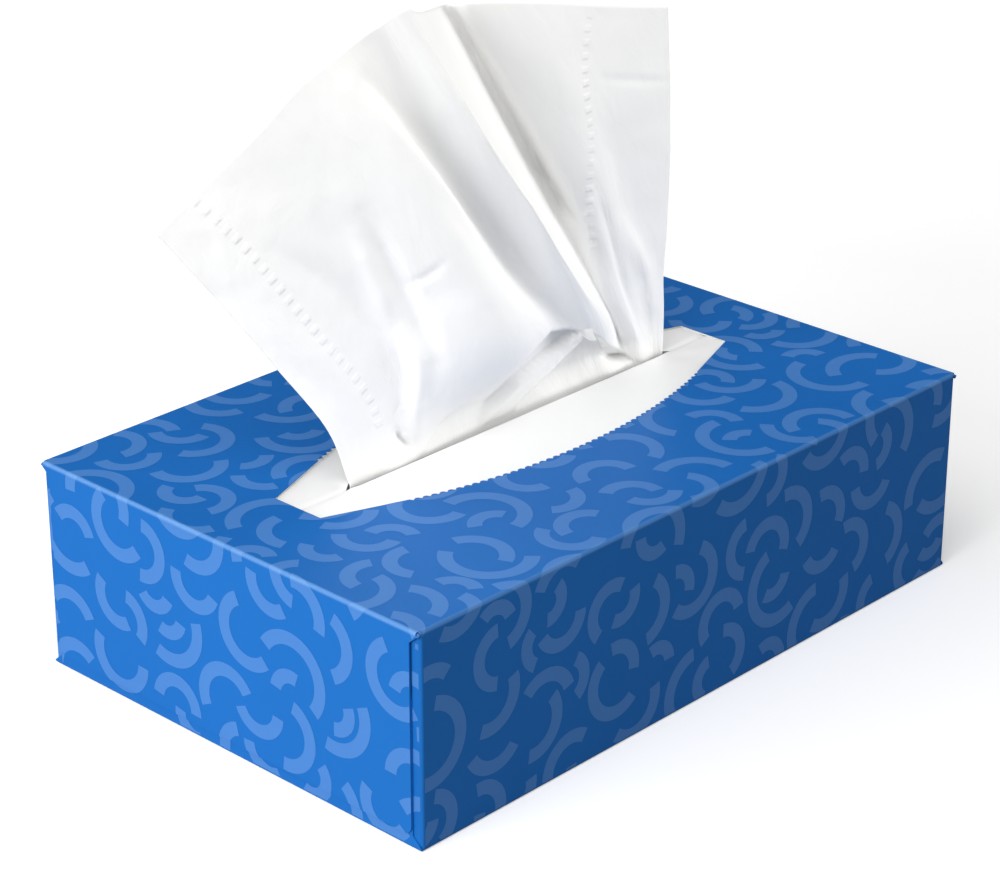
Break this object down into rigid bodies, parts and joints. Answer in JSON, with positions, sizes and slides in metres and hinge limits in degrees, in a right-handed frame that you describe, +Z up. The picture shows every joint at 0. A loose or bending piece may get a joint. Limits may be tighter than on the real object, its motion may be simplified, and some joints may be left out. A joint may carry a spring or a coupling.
{
  "type": "tissue box",
  "caption": "Flat folded-board tissue box with a leaf-shaped mouth, a slit film under it and one tissue raised through the slit.",
  "frame": {"origin": "centre of the carton's base, on the surface it stands on", "axes": "+X along the long side, +Y from the front panel to the back panel, +Z up"},
  "size_m": [0.21, 0.1376, 0.1772],
  "materials": {
    "carton_board": "printed board with a soft sheen",
    "film": "white opaque film, smooth",
    "tissue_pile": "soft matt tissue",
    "tissue_paper": "soft matt tissue, two plies embossed together near the edges"
  },
  "bodies": {
    "root": {"carton": "carton_board", "slit_film": "film", "tissue_stack": "tissue_pile", "raised_tissue": "tissue_paper"}
  },
  "joints": []
}
